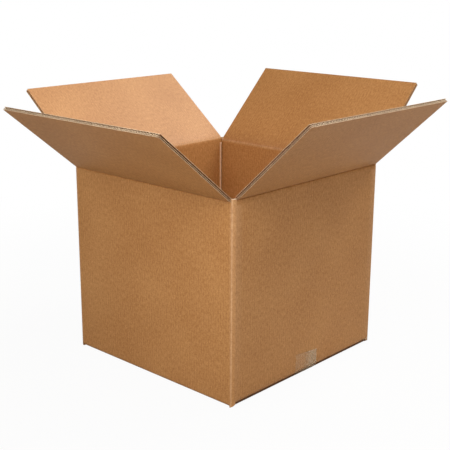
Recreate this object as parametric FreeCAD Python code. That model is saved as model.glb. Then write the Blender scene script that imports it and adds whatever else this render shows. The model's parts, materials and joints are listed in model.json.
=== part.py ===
"""An open double-wall corrugated box, folded from one sheet, with its four top flaps folded out.

Sizes are in millimetres and +Z is up. The origin is the centre of the underside. +X is the way
out of the right wall and -Y the way out of the front wall.
"""
import FreeCAD, Part
import math
import os
from collections import namedtuple

from FreeCAD import Vector

# Clear space inside, with the flaps shut.
inside_length = 457.2
inside_width = 457.2
inside_depth = 400.0

# The board: three paper liners with two rows of flutes between them. The flutes run up the walls.
liner = 0.7
outside_flute_height = 2.0
outside_flute_pitch = 7.4
inside_flute_height = 2.9
inside_flute_pitch = 8.4
flute_paper = 0.5
cut_depth = 12.0
torn_flute_depth = 2.2

# Folds, slots and the gaps that let the flaps lie on each other.
corner_fold_radius = 1.5
floor_fold_radius = 1.5
slot_clearance = 0.3
lay_clearance = 0.3
score_clearance = 0.4
middle_gap = 2.0
score_offset = 1.0
shut_fold_angle = 90.0
open_fold_angle = 120.0
crease_bead_radius = 3.0
crease_bead_end_gap = 1.5

# How far each top flap leans out from upright in the rest position.
right_lean_angle = 47.0
back_lean_angle = 45.0
left_lean_angle = 51.0
front_lean_angle = 51.0

# The glued lap that joins the sheet into a tube, crushed flat, and the tape over the floor seam.
lap_width = 38.0
lap_thickness = 3.5
lap_end_angle = 15.0
tape_width = 72.0
tape_thickness = 0.2
tape_off_centre = -2.0
tape_climb = 52.0
tape_end_skew = 7.0

# Worked out from the values above.
board = 3 * liner + outside_flute_height + inside_flute_height
half_length = inside_length / 2 + board
half_width = inside_width / 2 + board
slot_reach = board + corner_fold_radius
inner_floor_level = board + lay_clearance
floor_top = inner_floor_level + board
inner_score_depth = board / 2 + score_offset
outer_score_depth = board / 2 - score_offset
inner_score_height = floor_top + inside_depth + inner_score_depth
outer_score_height = (
    inner_score_height - inner_score_depth + board + lay_clearance + outer_score_depth
)
slot_foot = board / 2
slot_head = (inner_score_height + outer_score_height) / 2

# One wall with the bottom flap and the top flap that it carries. turn brings a wall that faces +X
# to its place. reach is from the middle of the box to the wall's outer face, and half_run is half
# of the wall's length between its two slots. The score of the top flap lies score_depth in from
# the inner face. The bottom flap's underside is at floor_level.
Panel = namedtuple("Panel", "turn reach half_run score_height score_depth floor_level lean")

side_run = half_width - slot_reach
end_run = half_length - slot_reach
panels = {
    "right": Panel(
        0, half_length, side_run,
        outer_score_height, outer_score_depth, inner_floor_level, right_lean_angle
    ),
    "back": Panel(
        90, half_width, end_run, inner_score_height, inner_score_depth, 0.0, back_lean_angle
    ),
    "left": Panel(
        180, half_length, side_run,
        outer_score_height, outer_score_depth, inner_floor_level, left_lean_angle
    ),
    "front": Panel(
        270, half_width, end_run, inner_score_height, inner_score_depth, 0.0, front_lean_angle
    ),
}


def line(start, end):
    return Part.LineSegment(start, end).toShape()


def arc(centre, radius, start_degrees, end_degrees):
    """An arc in the XZ plane, with its angles measured from +X towards +Z."""
    points = []
    for degrees in (start_degrees, (start_degrees + end_degrees) / 2, end_degrees):
        turn = math.radians(degrees)
        points.append(centre + Vector(radius * math.cos(turn), 0, radius * math.sin(turn)))
    return Part.Arc(*points).toShape()


def loop(points):
    """A flat face inside the closed outline through the points."""
    return Part.Face(Part.makePolygon(points + [points[0]]))


def prism_along_y(face, half_run):
    """The face, drawn in the XZ plane, made as long as the panel between its slots."""
    solid = face.extrude(Vector(0, 2 * half_run, 0))
    solid.translate(Vector(0, -half_run, 0))
    return solid


def taper(depth, fold):
    """Height over which the board is crushed down to the score, so that it can fold that far."""
    return depth * math.tan(math.radians(fold / 2))


def score_line(panel):
    """The point of the score in the XZ plane: the top flap turns about the line through it."""
    return Vector(panel.reach - board + panel.score_depth, 0, panel.score_height)


def flute_rows():
    """Distance from the outer face, height and pitch of each row of flutes."""
    first = liner
    second = 2 * liner + outside_flute_height
    return (
        (first, outside_flute_height, outside_flute_pitch),
        (second, inside_flute_height, inside_flute_pitch),
    )


def flute_hollows(panel, half_run, level):
    """The hollows between the waves of both rows, as they show in a cut edge at this height."""
    hollows = []
    for distance, height, pitch in flute_rows():
        side = flute_paper / 2 / math.sin(math.atan2(height, pitch / 2))
        half_base = pitch / 2 - side
        tip = height * half_base / (pitch / 2)
        count = int((2 * half_run - 2 * torn_flute_depth - 2 * liner) / (pitch / 2)) - 1
        far_x = panel.reach - distance
        near_x = far_x - height
        for index in range(count):
            y = (index - (count - 1) / 2) * pitch / 2
            base_x, tip_x = (far_x, far_x - tip) if index % 2 else (near_x, near_x + tip)
            outline = [
                Vector(base_x, y - half_base, level),
                Vector(base_x, y + half_base, level),
                Vector(tip_x, y, level),
            ]
            hollows.append(loop(outline).extrude(Vector(0, 0, -cut_depth)))
    return hollows


def slot_grooves(panel, half_run, foot, head):
    """The flutes that the slots cut open lengthways, along both side edges of an upright flap."""
    grooves = []
    for distance, height, _ in flute_rows():
        for edge in (-half_run, half_run - torn_flute_depth):
            corner = Vector(panel.reach - distance - height, edge, foot)
            grooves.append(Part.makeBox(height, torn_flute_depth, head - foot, corner))
    return grooves


def put_in_place(solid, panel):
    solid.rotate(Vector(0, 0, 0), Vector(0, 0, 1), panel.turn)
    return solid


def wall_with_bottom_flap(panel):
    """A wall with its crushed top edge, bent at the floor into the bottom flap."""
    outer, inner = panel.reach, panel.reach - board
    low, high = panel.floor_level, panel.floor_level + board
    bend = Vector(inner - floor_fold_radius, 0, high + floor_fold_radius)
    crest = score_line(panel) - Vector(0, 0, score_clearance)
    outer_shoulder = crest.z - taper(board - panel.score_depth, open_fold_angle)
    inner_shoulder = crest.z - taper(panel.score_depth, shut_fold_angle)
    middle = middle_gap / 2
    outline = Part.Wire([
        line(crest, Vector(outer, 0, outer_shoulder)),
        line(Vector(outer, 0, outer_shoulder), Vector(outer, 0, bend.z)),
        arc(bend, floor_fold_radius + board, 0, -90),
        line(Vector(bend.x, 0, low), Vector(middle, 0, low)),
        line(Vector(middle, 0, low), Vector(middle, 0, high)),
        line(Vector(middle, 0, high), Vector(bend.x, 0, high)),
        arc(bend, floor_fold_radius, -90, 0),
        line(Vector(inner, 0, bend.z), Vector(inner, 0, inner_shoulder)),
        line(Vector(inner, 0, inner_shoulder), crest),
    ])
    solid = prism_along_y(Part.Face(outline), panel.half_run)
    return put_in_place(solid, panel)


def floor_edge_grooves(panel):
    """The flutes cut open along the side edges of a bottom flap, which lies on its outer face."""
    grooves = []
    start = middle_gap / 2
    length = panel.reach - board - floor_fold_radius - start
    for distance, height, _ in flute_rows():
        for edge in (-panel.half_run, panel.half_run - torn_flute_depth):
            corner = Vector(start, edge, panel.floor_level + distance)
            grooves.append(put_in_place(Part.makeBox(length, torn_flute_depth, height, corner), panel))
    return grooves


def corner_folds():
    """The four upright folds, from slot to slot, each with the bead of paper pushed up inside."""
    height = slot_head - slot_foot
    folds = []
    for right in (1, -1):
        for back in (1, -1):
            x, y = right * end_run, back * side_run
            foot = Vector(x, y, slot_foot)
            upright = Vector(0, 0, 1)
            fold = Part.makeCylinder(slot_reach, height, foot, upright, 90)
            fold = fold.cut(Part.makeCylinder(corner_fold_radius, height, foot, upright, 90))
            fold.rotate(foot, upright, math.degrees(math.atan2(back, right)) - 45)
            bead_foot = Vector(
                right * (half_length - board),
                back * (half_width - board),
                floor_top + crease_bead_end_gap,
            )
            bead_height = inside_depth - 2 * crease_bead_end_gap
            bead = Part.makeCylinder(crease_bead_radius, bead_height, bead_foot)
            folds += [fold, bead]
    return folds


def glued_lap():
    """The end of the sheet, crushed and glued inside the left wall beside the front corner."""
    wall_face = -(half_length - board)
    corner = -(half_width - board)
    low = floor_top + crease_bead_end_gap
    high = low + inside_depth - 2 * crease_bead_end_gap
    slope = lap_width * math.tan(math.radians(lap_end_angle))
    outline = [
        Vector(wall_face, corner, low),
        Vector(wall_face, corner + lap_width, low + slope),
        Vector(wall_face, corner + lap_width, high - slope),
        Vector(wall_face, corner, high),
    ]
    return loop(outline).extrude(Vector(lap_thickness, 0, 0))


def tape_section(depth):
    """Outline of the tape's path in the XZ plane, from the middle of the floor up the right wall.

    It is drawn depth outside the board, and goes straight from the floor's edge to the fold.
    """
    radius = floor_fold_radius + board
    bend = Vector(half_length - radius, 0, inner_floor_level + radius)
    floor_edge = Vector(end_run + depth, 0, tape_thickness - depth)
    down = bend - floor_edge
    touch = math.degrees(math.acos((radius + depth) / down.Length) - math.atan2(down.z, -down.x))
    leave = arc(bend, radius + depth, touch, 0)
    start = leave.Vertexes[0].Point
    return [
        line(Vector(0, 0, tape_thickness - depth), floor_edge),
        line(floor_edge, start),
        leave,
        line(leave.Vertexes[-1].Point, Vector(half_length + depth, 0, tape_climb)),
    ]


def floor_tape():
    """Clear tape over the floor seam, turned up the right and left walls."""
    against, outside = tape_section(0.0), tape_section(tape_thickness)
    top = line(against[-1].Vertexes[-1].Point, outside[-1].Vertexes[-1].Point)
    middle = line(against[0].Vertexes[0].Point, outside[0].Vertexes[0].Point)
    outline = Part.Wire(Part.__sortEdges__(against + outside + [top, middle]))
    half = prism_along_y(Part.Face(outline), tape_width / 2)
    high = half_length + 2 * tape_thickness
    torn_off = [
        Vector(half_length - tape_thickness, tape_width / 2, tape_climb - tape_end_skew),
        Vector(half_length - tape_thickness, -tape_width / 2, tape_climb),
        Vector(half_length - tape_thickness, tape_width / 2, tape_climb),
    ]
    half = half.cut(loop(torn_off).extrude(Vector(high - half_length + tape_thickness, 0, 0)))
    other = half.mirror(Vector(0, 0, 0), Vector(1, 0, 0))
    tape = half.fuse(other).removeSplitter()
    tape.translate(Vector(0, tape_off_centre, 0))
    return tape


def box_body():
    """The folded sheet without its top flaps: four walls, their folds, the lap and the floor."""
    walls = [wall_with_bottom_flap(panel) for panel in panels.values()]
    body = walls[0].fuse(walls[1:] + corner_folds() + [glued_lap()])
    grooves = []
    for panel in panels.values():
        grooves += floor_edge_grooves(panel)
    under_tape = Part.makeBox(
        2 * half_length, tape_width, tape_thickness,
        Vector(-half_length, tape_off_centre - tape_width / 2, 0)
    )
    return body.cut(grooves + [under_tape]).removeSplitter()


def top_flap(panel):
    """A top flap, made upright above its wall and then folded out to its rest position."""
    half_run = panel.half_run - slot_clearance
    outer, inner = panel.reach, panel.reach - board
    score = score_line(panel)
    edge = score.z + score.x - middle_gap / 2
    outline = [
        score,
        Vector(outer, 0, score.z + taper(board - panel.score_depth, open_fold_angle)),
        Vector(outer, 0, edge),
        Vector(inner, 0, edge),
        Vector(inner, 0, score.z + taper(panel.score_depth, shut_fold_angle)),
    ]
    flap = prism_along_y(loop(outline), half_run)
    groove_foot = score.z + taper(board, open_fold_angle)
    hollows = flute_hollows(panel, half_run, edge) + slot_grooves(panel, half_run, groove_foot, edge)
    flap = flap.cut(hollows)
    flap.rotate(score, Vector(0, 1, 0), panel.lean)
    return put_in_place(flap, panel)


os.makedirs("parts", exist_ok=True)
pieces = {"box_body": box_body(), "floor_tape": floor_tape()}
for side, panel in panels.items():
    pieces["top_flap_" + side] = top_flap(panel)
for name, shape in pieces.items():
    solid, = shape.Solids
    solid.exportStep("parts/" + name + ".step")
    print(name, round(solid.Volume), solid.isValid())
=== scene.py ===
"""An open double-wall corrugated box with its four top flaps folded out, dressed for a picture."""

import json
from math import atan2, copysign, cos, pi, radians, sin

import bmesh
import bpy
from mathutils import Matrix, Vector
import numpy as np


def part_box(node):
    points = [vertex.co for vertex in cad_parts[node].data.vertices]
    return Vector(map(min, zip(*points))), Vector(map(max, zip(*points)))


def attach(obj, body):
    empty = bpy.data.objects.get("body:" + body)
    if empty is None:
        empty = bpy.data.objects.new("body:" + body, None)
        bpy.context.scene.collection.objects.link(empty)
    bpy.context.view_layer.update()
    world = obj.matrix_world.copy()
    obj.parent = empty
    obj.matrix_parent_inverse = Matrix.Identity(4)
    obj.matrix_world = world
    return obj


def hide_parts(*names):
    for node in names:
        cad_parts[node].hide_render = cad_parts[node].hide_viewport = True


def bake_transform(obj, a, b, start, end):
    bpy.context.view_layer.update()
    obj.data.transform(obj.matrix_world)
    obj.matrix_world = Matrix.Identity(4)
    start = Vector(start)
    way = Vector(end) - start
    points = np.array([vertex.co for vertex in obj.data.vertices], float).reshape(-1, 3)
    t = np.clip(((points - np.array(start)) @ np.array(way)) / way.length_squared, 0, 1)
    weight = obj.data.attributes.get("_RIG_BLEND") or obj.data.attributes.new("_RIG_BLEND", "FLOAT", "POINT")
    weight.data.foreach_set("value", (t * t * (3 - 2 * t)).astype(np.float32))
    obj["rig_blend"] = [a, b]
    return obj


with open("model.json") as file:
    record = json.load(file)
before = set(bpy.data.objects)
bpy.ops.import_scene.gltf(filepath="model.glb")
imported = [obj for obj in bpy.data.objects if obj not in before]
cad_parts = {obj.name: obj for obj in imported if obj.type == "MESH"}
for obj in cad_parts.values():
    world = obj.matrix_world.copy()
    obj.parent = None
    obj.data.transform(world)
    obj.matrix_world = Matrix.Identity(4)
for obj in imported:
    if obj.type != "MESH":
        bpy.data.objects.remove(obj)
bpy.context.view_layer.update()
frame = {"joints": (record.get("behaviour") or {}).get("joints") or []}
scene = bpy.context.scene
mm = 0.001

# Camera: a short telephoto lens two metres away, looking a little down on the near corner. Its
# place comes from matching the box's own corners in the photograph.
image_width = 450
focal_length_in_pixels = 921.5
sensor_width = 36
camera_azimuth = radians(42.74)
camera_elevation = radians(15.58)
camera_roll = radians(0.28)
camera_distance = 2.0606
camera_target = Vector((-0.0025, -0.0023, 0.2835))

back = Vector((
    sin(camera_azimuth) * cos(camera_elevation),
    -cos(camera_azimuth) * cos(camera_elevation),
    sin(camera_elevation),
))
camera = bpy.data.objects.new("camera", bpy.data.cameras.new("camera"))
scene.collection.objects.link(camera)
scene.camera = camera
camera.data.sensor_width = sensor_width
camera.data.lens = sensor_width * focal_length_in_pixels / image_width
turn = (-back).to_track_quat("-Z", "Y").to_matrix().to_4x4() @ Matrix.Rotation(camera_roll, 4, "Z")
camera.matrix_world = Matrix.Translation(camera_target + back * camera_distance) @ turn


# Light: a large soft box high behind the box, a wide panel on the right and one at the front left,
# and two small soft boxes close to the near corner and the front wall, in a dim even room. The
# view transform is plain, so a colour renders about as it is written.
light_aim = Vector((0, 0, 0.3))
room_strength = 0.1


def linear(hex_colour):
    """An sRGB hex value, such as C19A6B, as the linear colour that a shader socket takes."""
    channels = [int(hex_colour[start:start + 2], 16) / 255 for start in (0, 2, 4)]
    straight = [c / 12.92 if c <= 0.04045 else ((c + 0.055) / 1.055) ** 2.4 for c in channels]
    return (*straight, 1.0)


def node(tree, kind, settings=None, **sockets):
    """Adds a shader node with its settings, and sets or links its input sockets by name."""
    made = tree.nodes.new(kind)
    for name, value in (settings or {}).items():
        setattr(made, name, value)
    for name, value in sockets.items():
        place = int(name[1:]) if name[1:].isdigit() else name.replace("_", " ")
        if isinstance(value, bpy.types.NodeSocket):
            tree.links.new(value, made.inputs[place])
        else:
            made.inputs[place].default_value = value
    return made


def soft_light(name, away, distance, size, power):
    """A square lamp that looks at the box from the direction away, in metres and watts."""
    light = bpy.data.lights.new(name, "AREA")
    light.size = size
    light.energy = power
    lamp = bpy.data.objects.new(name, light)
    scene.collection.objects.link(lamp)
    away = Vector(away).normalized()
    lamp.location = light_aim + away * distance
    lamp.rotation_euler = (-away).to_track_quat("-Z", "Y").to_euler()


soft_light("overhead_back_soft_box", (0.14, 0.62, 0.77), 3.0, 1.8, 92)
soft_light("right_side_panel", (0.85, 0.10, 0.50), 3.0, 1.6, 16)
soft_light("near_corner_soft_box", (0.50, -0.60, 0.65), 1.5, 0.8, 8.2)
soft_light("front_left_panel", (-0.30, -0.80, 0.60), 3.0, 1.6, 19)
soft_light("front_soft_box", (0.25, -0.90, 0.40), 1.5, 0.8, 5.8)

scene.view_settings.view_transform = "Standard"
room = bpy.data.worlds.new("pale_room")
scene.world = room
room.use_nodes = True
tree = room.node_tree
tree.nodes.clear()
path = node(tree, "ShaderNodeLightPath")
even = node(tree, "ShaderNodeBackground", Color=(1, 1, 1, 1), Strength=room_strength)
white = node(tree, "ShaderNodeBackground", Color=(1, 1, 1, 1), Strength=1.0)
shown = node(tree, "ShaderNodeMixShader", Fac=path.outputs["Is Camera Ray"], i1=even.outputs[0],
             i2=white.outputs[0])
node(tree, "ShaderNodeOutputWorld", Surface=shown.outputs[0])

# Floor: a wide sweep of matt off-white paper. The camera sees it nearly pure white, with a faint
# trace of the box's soft shadow that fades out with the distance.
floor_half_size = 40.0
floor_drop = 0.5 * mm
floor_shadow_share = 0.05
shadow_fades_from = 0.5
shadow_gone_at = 1.6

bm = bmesh.new()
bmesh.ops.create_grid(bm, x_segments=1, y_segments=1, size=floor_half_size)
bmesh.ops.translate(bm, verts=bm.verts, vec=(0, 0, -floor_drop))
floor_mesh = bpy.data.meshes.new("floor")
bm.to_mesh(floor_mesh)
bm.free()
floor = bpy.data.objects.new("floor", floor_mesh)
scene.collection.objects.link(floor)
sweep = bpy.data.materials.new("white_paper_sweep")
sweep.use_nodes = True
tree = sweep.node_tree
tree.nodes.clear()
path = node(tree, "ShaderNodeLightPath")
paper = node(tree, "ShaderNodeBsdfDiffuse", Color=linear("C6C4C0"))
glow = node(tree, "ShaderNodeEmission", Color=(1, 1, 1, 1), Strength=1.0)
spot = node(tree, "ShaderNodeTexCoord").outputs["Object"]
away = node(tree, "ShaderNodeVectorMath", {"operation": "LENGTH"}, i0=spot)
white = node(tree, "ShaderNodeMapRange", {"interpolation_type": "SMOOTHSTEP"},
             Value=away.outputs["Value"], From_Min=shadow_fades_from, From_Max=shadow_gone_at,
             To_Min=1 - floor_shadow_share, To_Max=1.0)
share = node(tree, "ShaderNodeMath", {"operation": "MULTIPLY"}, i0=path.outputs["Is Camera Ray"],
             i1=white.outputs[0])
lit = node(tree, "ShaderNodeMixShader", Fac=share.outputs[0], i1=paper.outputs[0],
           i2=glow.outputs[0])
node(tree, "ShaderNodeOutputMaterial", Surface=lit.outputs[0])
floor.data.materials.append(sweep)


# Box body: one die-cut sheet of brown double-wall board, three kraft liners on two rows of flutes.
# It is folded round into four walls and its four bottom flaps are folded shut, the front and back
# pair outermost. The flutes run up the walls.
board = 7.0 * mm
liner = 0.5 * mm
outer_flute_pitch = 6.6 * mm
inner_flute_pitch = 8.0 * mm
slot_clearance = 0.3 * mm
middle_gap = 2.0 * mm
fold_radius = 8.5 * mm
fold_steps = 8
slot_foot = 3.5 * mm
foot_curve = 1.5
torn_flute_depth = 2.2 * mm
under_tape = 0.25 * mm
inner_floor = 7.3 * mm
wall_seam = 412.0 * mm
wall_strips = 24
wall_levels = [0.03, 0.06, 0.1, 0.16, 0.24, 0.32, 0.37]
wall_turns = {"right": 0, "back": 90, "left": 180, "front": 270}
sharp_edge = radians(35)

# Places less than a hair apart count as one, and a wall's faces are found within its skin.
hair = 0.01 * mm
wall_skin = 1.0 * mm

# Inside, the liner is pinched into a dark slit along each upright fold. It begins at the share
# slit_side of the inner round.
slit_depth = 4.5 * mm
slit_width = 3.0 * mm
slit_side = 0.3

# Real kraft fibres are about 0.05 by 3 mm. They are drawn coarser, or they wouldn't show.
cloud_size = 120 * mm
cloudiness = 0.5
fibre_width = 4.0 * mm
fibre_length = 9.0 * mm
fibre_contrast = 1.6
fleck_size = 3.0 * mm
fleck_contrast = 0.9
# The washboard's tone is painted shade: the flute ripples drawn darker and lighter in the colour.
washboard_painted_shade = 0.05
washboard_relief = 0.35
kraft_relief = 0.08 * mm
kraft_relief_strength = 0.5
kraft_specular = 0.35

# The liner's skin is painted pale in a line along each upright fold, and a little on both sides of
# it, more towards the top: partly rubbed paper, partly a painted highlight where the rounded fold
# and the board curving into it catch the light.
rubbed_and_highlight_tone = "E6C09A"
rubbed_highlight_line_place = 0.75
rubbed_highlight_line_sharpness = 8
soft_wear_and_highlight = 0.22
soft_wear_and_highlight_at_foot = 0.4
joints = {joint["name"]: joint for joint in frame["joints"]}
body_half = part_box("box_body")[1]


class Panel:
    """One wall with its flaps, measured in a view where the wall faces +X."""

    def __init__(self, side):
        joint = joints[side + "_flap_fold"]
        across = side in ("front", "back")
        self.side = side
        self.turn = Matrix.Rotation(radians(wall_turns[side]), 4, "Z")
        self.reach = body_half.y if across else body_half.x
        self.half_run = (body_half.x if across else body_half.y) - fold_radius
        self.floor = under_tape if across else inner_floor
        self.bend = Vector((self.reach - fold_radius, 0, self.floor + fold_radius))
        self.score = self.turn.inverted() @ Vector(joint["pos_m"])
        # To lie shut, the flap turns in by its lean and a right angle more.
        self.lean = radians(-joint["range_deg"][0] - 90)


def kraft_paper(name, dark, middle, light, roughness):
    """Matt unbleached paper: cloudy fibre, fine flecks, and a faint washboard over the flutes, in
    relief and as painted shade.

    Its skin shows paler by its fold attribute: rubbed paper, and painted highlights on the folds,
    the inner creases and the beads. The UV map has u across the flutes and v along them, both in
    metres.
    """
    paper = bpy.data.materials.new(name)
    paper.use_nodes = True
    tree = paper.node_tree
    tree.nodes.clear()
    spot = node(tree, "ShaderNodeTexCoord").outputs["Object"]
    sheet = node(tree, "ShaderNodeUVMap", {"uv_map": "board"}).outputs[0]
    cloud = node(tree, "ShaderNodeTexNoise", Vector=spot, Scale=1 / cloud_size, Detail=2.0)
    grain = node(tree, "ShaderNodeMapping", Vector=sheet,
                 Scale=(1 / fibre_width, 1 / fibre_length, 1))
    fibre = node(tree, "ShaderNodeTexNoise", Vector=grain.outputs[0], Scale=1.0, Detail=4.0,
                 Roughness=0.65)
    speck = node(tree, "ShaderNodeMapping", Vector=sheet, Scale=(1 / fleck_size, 1 / fleck_size, 1))
    fleck = node(tree, "ShaderNodeTexNoise", Vector=speck.outputs[0], Scale=1.0, Detail=1.0)
    across = node(tree, "ShaderNodeSeparateXYZ", Vector=sheet).outputs[0]
    phase = node(tree, "ShaderNodeMath", {"operation": "MULTIPLY"}, i0=across,
                 i1=2 * pi / outer_flute_pitch)
    washboard = node(tree, "ShaderNodeMath", {"operation": "SINE"}, i0=phase.outputs[0])
    tone = node(tree, "ShaderNodeMath", {"operation": "MULTIPLY_ADD"}, i0=washboard.outputs[0],
                i1=washboard_painted_shade, i2=0.5 - (cloudiness + fibre_contrast + fleck_contrast) / 2)
    for noise, contrast in ((cloud, cloudiness), (fibre, fibre_contrast), (fleck, fleck_contrast)):
        tone = node(tree, "ShaderNodeMath", {"operation": "MULTIPLY_ADD"}, i0=noise.outputs[0],
                    i1=contrast, i2=tone.outputs[0])
    ramp = node(tree, "ShaderNodeValToRGB", Fac=tone.outputs[0])
    ramp.color_ramp.elements[0].color = linear(dark)
    ramp.color_ramp.elements[1].color = linear(light)
    ramp.color_ramp.elements.new(0.5).color = linear(middle)
    # The fold attribute mixes in a pale tone: rubbed paper, and painted highlights on folds, creases and
    # beads.
    wear_and_highlight = node(tree, "ShaderNodeAttribute", {"attribute_name": "fold_wear_and_highlight"})
    rubbed_and_highlit = node(tree, "ShaderNodeMath", {"operation": "MULTIPLY"}, i0=wear_and_highlight.outputs["Fac"],
                  i1=fibre.outputs[0])
    worn_and_highlit = node(tree, "ShaderNodeMix", {"data_type": "RGBA"}, i0=rubbed_and_highlit.outputs[0],
                i6=ramp.outputs[0], i7=linear(rubbed_and_highlight_tone))
    relief = node(tree, "ShaderNodeMath", {"operation": "MULTIPLY_ADD"}, i0=washboard.outputs[0],
                  i1=washboard_relief, i2=fibre.outputs[0])
    bump = node(tree, "ShaderNodeBump", Height=relief.outputs[0], Strength=kraft_relief_strength,
                Distance=kraft_relief)
    skin = node(tree, "ShaderNodeBsdfPrincipled", Base_Color=worn_and_highlit.outputs[2], Roughness=roughness,
                Specular_IOR_Level=kraft_specular, Normal=bump.outputs[0])
    node(tree, "ShaderNodeOutputMaterial", Surface=skin.outputs[0])
    return paper


def map_board(bm, panel, faces):
    """Lays the sheet's pattern flat: u runs across the flutes and v down the wall and its flaps."""
    sheet = bm.loops.layers.uv.verify()
    for face in faces:
        for corner in face.loops:
            place = corner.vert.co
            corner[sheet].uv = (place.y, place.z - (panel.reach - place.x))


def finish_sheet(bm, name, materials):
    """Makes the object, smooth where the paper curves and sharp at its cut edges."""
    mesh = bpy.data.meshes.new(name)
    bm.to_mesh(mesh)
    bm.free()
    mesh.uv_layers[0].name = "board"
    mesh.shade_smooth()
    mesh.set_sharp_from_angle(angle=sharp_edge)
    for material in materials:
        mesh.materials.append(material)
    piece = bpy.data.objects.new(name, mesh)
    scene.collection.objects.link(piece)
    return piece


panels = [Panel(side) for side in wall_turns]
slot_head = max(panel.score.z for panel in panels)

# The liner's pressed face has a slight sheen. Cut edges are raw paper, pale and quite matt. The
# fluting is a duller paper, and its darker colour is partly painted shade: it stands in for the
# shade in the flute hollows and in the recess under the walls.
kraft_liner = kraft_paper("brown_kraft_liner", "9F6935", "B67F48", "CA955B", 0.55)
cut_paper = kraft_paper("raw_cut_paper_edge", "D8B893", "E6CBA8", "F2DCBC", 0.9)
flute_paper_and_shade = kraft_paper("fluted_medium_and_painted_shade", "80583A", "946A46", "A67C54", 0.9)

# The four walls rise together from their foot, row by row, round four rounded upright folds.
bm = bmesh.new()
bmesh.ops.create_grid(bm, x_segments=1, y_segments=1, size=1)
bmesh.ops.scale(bm, verts=bm.verts, vec=(body_half.x, body_half.y, 1))
bmesh.ops.translate(bm, verts=bm.verts, vec=(0, 0, slot_foot))
bmesh.ops.bevel(bm, geom=bm.verts[:], offset=fold_radius, segments=fold_steps, profile=0.5,
                affect="VERTICES", material=-1)
bmesh.ops.delete(bm, geom=bm.faces[:], context="FACES_ONLY")
walls = [edge for edge in bm.edges if edge.calc_length() > fold_radius]
bmesh.ops.subdivide_edges(bm, edges=walls, cuts=wall_strips - 1)
for side in (-1, 1):
    shoulder = Vector((side * (panels[1].half_run - slit_width), 0, 0))
    bmesh.ops.bisect_plane(bm, geom=bm.verts[:] + bm.edges[:], plane_co=shoulder,
                           plane_no=(1, 0, 0))
rising = bm.edges[:]
height = slot_foot
bends = sorted({panel.bend.z for panel in panels})
for level in [*bends, *wall_levels, wall_seam, slot_head]:
    made = bmesh.ops.extrude_edge_only(bm, edges=rising)
    risen = [item for item in made["geom"] if isinstance(item, bmesh.types.BMVert)]
    rising = [item for item in made["geom"]
              if isinstance(item, bmesh.types.BMEdge) and all(v in risen for v in item.verts)]
    bmesh.ops.translate(bm, verts=risen, vec=(0, 0, level - height))
    height = level

# Each wall is then opened between its folds, above and below, and its bottom flap is spun in
# round the bend and drawn out to the middle of the floor.
for panel in panels:
    bmesh.ops.transform(bm, matrix=panel.turn.inverted(), verts=bm.verts)
    middles = {face: face.calc_center_median() for face in bm.faces}
    wall = [face for face, place in middles.items()
            if place.x > panel.reach - wall_skin and abs(place.y) < panel.half_run]
    spare = [face for face in wall if not panel.bend.z < middles[face].z < wall_seam]
    bmesh.ops.delete(bm, geom=spare, context="FACES")
    foot = [edge for edge in bm.edges if edge.is_boundary
            and all(abs(vert.co.z - panel.bend.z) < hair
                    and vert.co.x > panel.reach - hair for vert in edge.verts)]
    made = bmesh.ops.spin(bm, geom=foot, cent=panel.bend, axis=(0, 1, 0), angle=pi / 2,
                          steps=fold_steps)
    lip = [item for item in made["geom_last"] if isinstance(item, bmesh.types.BMEdge)]
    made = bmesh.ops.extrude_edge_only(bm, edges=lip)
    inward = [item for item in made["geom"] if isinstance(item, bmesh.types.BMVert)]
    bmesh.ops.translate(bm, verts=inward, vec=(middle_gap / 2 - panel.bend.x, 0, 0))
    cleared = {vert for edge in lip for vert in edge.verts} | set(inward)
    bmesh.ops.scale(bm, verts=list(cleared), vec=(1, 1 - slot_clearance / panel.half_run, 1))
    near_wall = [face for face in bm.faces if face.calc_center_median().x
                 > abs(face.calc_center_median().y)]
    map_board(bm, panel, near_wall)
    bmesh.ops.transform(bm, matrix=panel.turn, verts=bm.verts)

# Round each upright fold, from 0 to 1: the pale line, partly rubbed paper and partly a painted
# highlight, and the foot that climbs from the outer pair of bottom flaps to the inner pair.
wear_and_highlight = bm.verts.layers.float.new("fold_wear_and_highlight")
for vert in bm.verts:
    past_x = abs(vert.co.x) - panels[1].half_run
    past_y = abs(vert.co.y) - panels[0].half_run
    if past_x > -hair and past_y > -hair:
        round_fold = atan2(past_y, past_x) / (pi / 2)
        line = 1 - rubbed_highlight_line_sharpness * abs(round_fold - rubbed_highlight_line_place)
        vert[wear_and_highlight] = max(soft_wear_and_highlight * (soft_wear_and_highlight_at_foot + vert.co.z / wall_seam), line)
        if vert.co.z < slot_foot + hair:
            climb = (inner_floor - under_tape) * (1 - round_fold) ** foot_curve
            vert.co.z = under_tape + climb

bmesh.ops.recalc_face_normals(bm, faces=bm.faces)
bm.normal_update()
outside = bm.faces[:]
made = bmesh.ops.solidify(bm, geom=outside, thickness=board)
inside = [item for item in made["geom"] if isinstance(item, bmesh.types.BMFace)]
cut_edges = set(bm.faces) - set(outside) - set(inside)
for face in cut_edges:
    face.material_index = 1

# The inner liner gets none of the pale fold paint, and the slits lie in the front and back walls.
for vert in {vert for face in inside for vert in face.verts}:
    vert[wear_and_highlight] = 0
    past_x = abs(vert.co.x) - panels[1].half_run
    past_y = abs(vert.co.y) - panels[0].half_run
    if past_x > -hair and past_y > slit_side * (fold_radius - board):
        vert.co.y += copysign(slit_depth, vert.co.y)

# The side edges of the bottom flaps are cut along the flutes, which lie back from the liners. The
# whole edge takes the darker fluting paper, painted shade for the dark recess under the walls.
along_flutes = [face for face in cut_edges if face.calc_center_median().z < inner_floor + board
                and face.calc_area() > board * fold_radius]
made = bmesh.ops.inset_individual(bm, faces=along_flutes, thickness=liner, depth=-torn_flute_depth)
for face in along_flutes + made["faces"]:
    face.material_index = 2
body = finish_sheet(bm, "box_body_sheet", [kraft_liner, cut_paper, flute_paper_and_shade])
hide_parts("box_body")
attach(body, "body")


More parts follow.
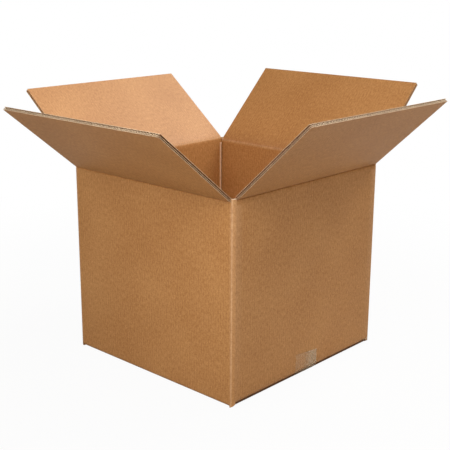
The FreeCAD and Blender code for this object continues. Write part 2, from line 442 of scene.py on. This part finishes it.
# Top flaps: the sheet's own flaps, hinged at scores that are crushed into both faces. Their free
# edges show both rows of flutes end on, and their slot edges show the three liners.
crush_reach = 4.0 * mm
crush_sharpness = 1.3
score_web = 1.8 * mm
score_rows = 6
# The inner liner is painted pale along the score: a painted highlight on the inside of the crease.
score_painted_highlight = 0.5
bend_reach = 3.0 * mm
flap_rows = (0.15, 0.4, 0.7, 0.9, 1)
outer_flute_height = 2.2 * mm
inner_flute_height = board - 3 * liner - outer_flute_height
flute_steps = 8
flute_end_gap = 0.2 * mm

# Real fluting is about 0.2 mm thick. It is drawn thicker, or it wouldn't show.
flute_paper_thickness = 0.6 * mm

# Real flutes crowd in some places and spread in others: how far they drift, in radians of a wave,
# and how fast along the edge. The shift makes the two rows drift apart.
slow_drift = 0.5
slow_drift_rate = 61
quick_drift = 0.35
quick_drift_rate = 173
drift_shift = 4000


def liner_sheet(bm, panel, full_depth, score_depth, faces_out):
    """A liner from the wall, over the crushed score, to the flap's free edge."""
    length = panel.score.x - middle_gap / 2
    low = wall_seam - panel.score.z
    near_score = [step * crush_reach / score_rows for step in range(-score_rows, score_rows + 1)]
    levels = [low] + near_score + [length * share for share in flap_rows]
    made = bmesh.ops.create_grid(bm, x_segments=len(levels) - 1, y_segments=wall_strips, size=1)
    for vert in made["verts"]:
        level = levels[round((vert.co.x + 1) / 2 * (len(levels) - 1))]
        crushed = max(0.0, 1 - abs(level) / crush_reach) ** crush_sharpness
        depth = full_depth + (score_depth - full_depth) * crushed
        half_run = panel.half_run - (slot_clearance if level > 0 else 0)
        vert.co = (panel.reach - depth, vert.co.y * half_run, panel.score.z + level)
        # The inner liner gets a painted highlight along the crushed score.
        vert[bm.verts.layers.float["fold_wear_and_highlight"]] = 0 if faces_out else score_painted_highlight * crushed
    faces = list({face for vert in made["verts"] for face in vert.link_faces})
    if faces_out:
        bmesh.ops.reverse_faces(bm, faces=faces)
    bm.normal_update()
    bmesh.ops.solidify(bm, geom=faces, thickness=liner)


def flute_sheet(bm, panel, depth, height, pitch):
    """The waved paper between two liners, from the crushed score to the free edge."""
    half_run = panel.half_run - slot_clearance
    length = panel.score.x - middle_gap / 2
    waves = round(2 * half_run / pitch)
    before = set(bm.faces)
    made = bmesh.ops.create_grid(bm, x_segments=1, y_segments=waves * flute_steps, size=1)
    swing = (height - flute_paper_thickness) / 2
    for vert in made["verts"]:
        level = crush_reach if vert.co.x < 0 else length - flute_end_gap
        along = vert.co.y * (half_run - torn_flute_depth)
        uneven = (slow_drift * sin(along * slow_drift_rate)
                  + quick_drift * sin(along * quick_drift_rate + pitch * drift_shift))
        wave = cos(2 * pi * along / pitch + uneven)
        vert.co = (panel.reach - depth - swing * wave, along, panel.score.z + level)
    faces = list({face for vert in made["verts"] for face in vert.link_faces})
    bm.normal_update()
    bmesh.ops.solidify(bm, geom=faces, thickness=flute_paper_thickness)
    for face in set(bm.faces) - before:
        face.material_index = 2


def show_cut_edges(bm, panel):
    """Gives raw paper to cut edges: the liners' at the slots, and every sheet's at the free edge."""
    half_run = panel.half_run - slot_clearance
    end = panel.score.z + panel.score.x - middle_gap / 2
    for face in bm.faces:
        middle = face.calc_center_median()
        if abs(middle.y) > half_run - hair or middle.z > end - flute_end_gap - hair:
            face.material_index = 1


def bend_out(bm, panel):
    """Turns what is above the score out to the flap's lean, over a short rounded bend."""
    for vert in bm.verts:
        share = min(max((vert.co.z - panel.score.z) / (2 * bend_reach) + 0.5, 0), 1)
        share = share * share * (3 - 2 * share)
        from_score = vert.co - Vector((panel.score.x, vert.co.y, panel.score.z))
        vert.co += Matrix.Rotation(share * panel.lean, 3, "Y") @ from_score - from_score


for panel in panels:
    outside = panel.reach - panel.score.x
    outer_middle = liner + outer_flute_height / 2
    inner_middle = board - liner - inner_flute_height / 2
    bm = bmesh.new()
    bm.verts.layers.float.new("fold_wear_and_highlight")
    liner_sheet(bm, panel, 0.0, outside - score_web / 2, True)
    liner_sheet(bm, panel, board, outside + score_web / 2, False)
    liner_sheet(bm, panel, liner + outer_flute_height, outside - liner / 2, True)
    flute_sheet(bm, panel, outer_middle, outer_flute_height, outer_flute_pitch)
    flute_sheet(bm, panel, inner_middle, inner_flute_height, inner_flute_pitch)
    sheet = bm.loops.layers.uv.verify()
    for face in bm.faces:
        for corner in face.loops:
            corner[sheet].uv = (corner.vert.co.y, corner.vert.co.z)
    show_cut_edges(bm, panel)
    bend_out(bm, panel)
    bmesh.ops.transform(bm, matrix=panel.turn, verts=bm.verts)
    flap = finish_sheet(bm, panel.side + "_flap_sheet", [kraft_liner, cut_paper, flute_paper_and_shade])
    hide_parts("top_flap_" + panel.side)
    below = panel.score - Vector((0, 0, bend_reach))
    above = panel.score + bend_reach * Vector((sin(panel.lean), 0, cos(panel.lean)))
    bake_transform(flap, "body", panel.side + "_flap", start=panel.turn @ below, end=panel.turn @ above)


# Inside creases: beside the slit that is pinched in each upright fold, the inner liner is pushed up
# into a soft bead on the right or left wall. The bead is painted pale all over, a painted highlight
# where it catches the light.
bead_radius = 2.6 * mm
bead_sides = 16
bead_off_wall = 0.3 * mm
bead_off_slit = 4.6 * mm
bead_painted_highlight = 2.0
bead_end_gap = 1.5 * mm
below_score = 4.5 * mm
inside_low = inner_floor + board + bead_end_gap
inside_high = panels[1].score.z - below_score - bead_end_gap
inner_face = panels[0].reach - board

bm = bmesh.new()
wear_and_highlight = bm.verts.layers.float.new("fold_wear_and_highlight")
for panel in (panels[0], panels[2]):
    for end in (-1, 1):
        place = Matrix.Translation((
            inner_face - bead_off_wall, end * (inner_face - bead_off_slit),
            (inside_low + inside_high) / 2
        ))
        bmesh.ops.create_cone(bm, segments=bead_sides, radius1=bead_radius, radius2=bead_radius,
                              depth=inside_high - inside_low, matrix=panel.turn @ place)
for vert in bm.verts:
    vert[wear_and_highlight] = bead_painted_highlight
bm.loops.layers.uv.verify()
bmesh.ops.recalc_face_normals(bm, faces=bm.faces)
map_board(bm, panels[0], bm.faces)
beads = finish_sheet(bm, "inside_crease_beads", [kraft_liner])
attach(beads, "body")


# Glued lap: the end of the sheet, crushed flat and glued inside the left wall at the front corner.
# Its two ends are cut at a slope, and its free edges are pressed round.
lap_width = 38.0 * mm
lap_thickness = 3.0 * mm
lap_end_slope = 10.0 * mm
lap_edge_radius = 1.0 * mm
lap_edge_steps = 3

bm = bmesh.new()
bmesh.ops.create_cube(bm, size=1)
bmesh.ops.scale(bm, verts=bm.verts, vec=(lap_thickness, lap_width, inside_high - inside_low))
bmesh.ops.translate(bm, verts=bm.verts, vec=(
    -inner_face + lap_thickness / 2, -inner_face + lap_width / 2, (inside_low + inside_high) / 2
))
free_side = [vert for vert in bm.verts if vert.co.y > -inner_face + lap_width / 2]
for vert in free_side:
    vert.co.z += lap_end_slope if vert.co.z < wall_seam / 2 else -lap_end_slope
long_edges = [edge for edge in bm.edges if all(vert.co.x > -inner_face for vert in edge.verts)]
bmesh.ops.bevel(bm, geom=long_edges, offset=lap_edge_radius, segments=lap_edge_steps, profile=0.5,
                affect="EDGES", material=-1)
bm.loops.layers.uv.verify()
map_board(bm, panels[0], bm.faces)
lap = finish_sheet(bm, "glued_lap", [kraft_liner])
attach(lap, "body")


# Floor tape: one strip of clear carton tape over the floor seam, turned up the right and left
# walls. The glossy film lets the board show through, and is pale and hazy towards its far side,
# where it hasn't stuck well.
tape_width = 72.0 * mm
tape_off_centre = -2.0 * mm
tape_climb = 52.0 * mm
tape_end_skew = 7.0 * mm
tape_thickness = 0.1 * mm
tape_off_wall = 0.18 * mm
tape_columns = 12
tape_bend_angles = (8, 16, 24, 32, 40)
crinkles_per_metre = 90.0
crinkle_depth = 0.2 * mm
crinkle_strength = 0.3
haze_starts = 4 * mm
haze_full = 18 * mm
haze_wander = 20 * mm
stuck_haze = 0.1
lifted_haze = 0.32
film_roughness = 0.35

film = bpy.data.materials.new("clear_tape_film")
film.use_nodes = True
tree = film.node_tree
tree.nodes.clear()
spot = node(tree, "ShaderNodeTexCoord").outputs["Object"]
crinkle = node(tree, "ShaderNodeTexNoise", Vector=spot, Scale=crinkles_per_metre, Detail=3.0)
bump = node(tree, "ShaderNodeBump", Height=crinkle.outputs[0], Strength=crinkle_strength,
            Distance=crinkle_depth)
across = node(tree, "ShaderNodeSeparateXYZ", Vector=spot).outputs[1]
uneven = node(tree, "ShaderNodeMath", {"operation": "MULTIPLY_ADD"}, i0=crinkle.outputs[0],
              i1=haze_wander, i2=across)
lifted = node(tree, "ShaderNodeMapRange", Value=uneven.outputs[0], From_Min=haze_starts,
              From_Max=haze_full, To_Min=stuck_haze, To_Max=lifted_haze)
skin = node(tree, "ShaderNodeBsdfPrincipled", Base_Color=linear("DEC6A2"),
            Roughness=film_roughness, Alpha=lifted.outputs[0], Normal=bump.outputs[0])
node(tree, "ShaderNodeOutputMaterial", Surface=skin.outputs[0])

right = panels[0]
path = [(right.reach + tape_off_wall, tape_climb), (right.reach + tape_off_wall, right.bend.z)]
for angle in tape_bend_angles:
    out = fold_radius + tape_off_wall
    path.append((right.bend.x + out * cos(radians(angle)),
                 right.bend.z - out * sin(radians(angle))))
path += [(panels[1].half_run, 0), (0, 0)]
bm = bmesh.new()
made = bmesh.ops.create_grid(bm, x_segments=len(path) - 1, y_segments=tape_columns, size=1)
for vert in made["verts"]:
    step = round((1 - vert.co.x) / 2 * (len(path) - 1))
    skew = tape_end_skew * (vert.co.y + 1) / 2 if step == 0 else 0
    x, z = path[step]
    vert.co = (x, tape_off_centre + vert.co.y * tape_width / 2, z - skew)
bmesh.ops.mirror(bm, geom=bm.verts[:] + bm.edges[:] + bm.faces[:], axis="X", merge_dist=hair)
bmesh.ops.recalc_face_normals(bm, faces=bm.faces)
if min(bm.faces, key=lambda face: face.calc_center_median().z).normal.z > 0:
    bmesh.ops.reverse_faces(bm, faces=bm.faces)
bm.normal_update()
bmesh.ops.solidify(bm, geom=bm.faces[:], thickness=tape_thickness)
bm.loops.layers.uv.verify()
tape = finish_sheet(bm, "floor_tape_film", [film])
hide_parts("floor_tape")
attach(tape, "body")
